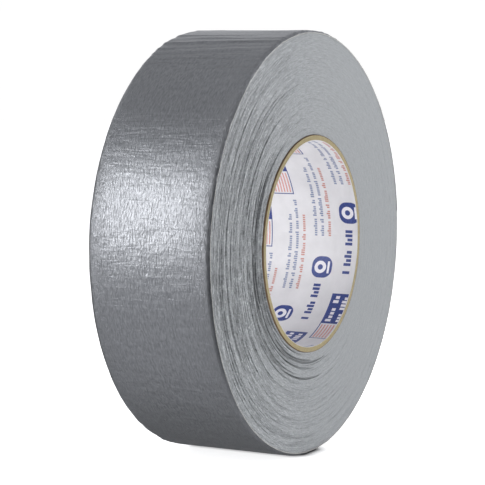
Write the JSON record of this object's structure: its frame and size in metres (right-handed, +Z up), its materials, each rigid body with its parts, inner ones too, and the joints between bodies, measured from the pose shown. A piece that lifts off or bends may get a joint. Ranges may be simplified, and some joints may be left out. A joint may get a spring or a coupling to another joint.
{
  "type": "duct tape roll",
  "caption": "Full roll of silver cloth-backed tape, wound in a spiral on a paperboard core, with a free end that lifts away.",
  "frame": {"origin": "centre of the core's bore: on the roll's axis, halfway along it", "axes": "+Y along the roll's axis; +Z up as the roll stands on its tread; +X towards the side where the free end lies"},
  "size_m": [0.1565, 0.0492, 0.1565],
  "materials": {
    "liner_paper": "matte",
    "core_board": "matte",
    "kraft_paper": "matte",
    "tape_edges": "matte",
    "adhesive": "satin",
    "scrim_cloth": "matte",
    "silver_film": "satin"
  },
  "bodies": {
    "roll": {"core_liner": "liner_paper", "core_board_ply_1": "core_board", "core_board_ply_2": "core_board", "core_board_ply_3": "core_board", "core_board_ply_4": "core_board", "core_outer_wrap": "kraft_paper", "wound_laps": "tape_edges", "outer_lap_adhesive": "adhesive", "outer_lap_scrim": "scrim_cloth", "outer_lap_film": "silver_film"},
    "free_end": {"free_end_adhesive": "adhesive", "free_end_scrim": "scrim_cloth", "free_end_film": "silver_film"}
  },
  "joints": [
    {"name": "free_end_peel", "type": "hinge", "parent": "roll", "child": "free_end", "pos_m": [0.07139, 0, 0.03276], "axis": [0, -1, 0], "range_deg": [0, 90]}
  ]
}
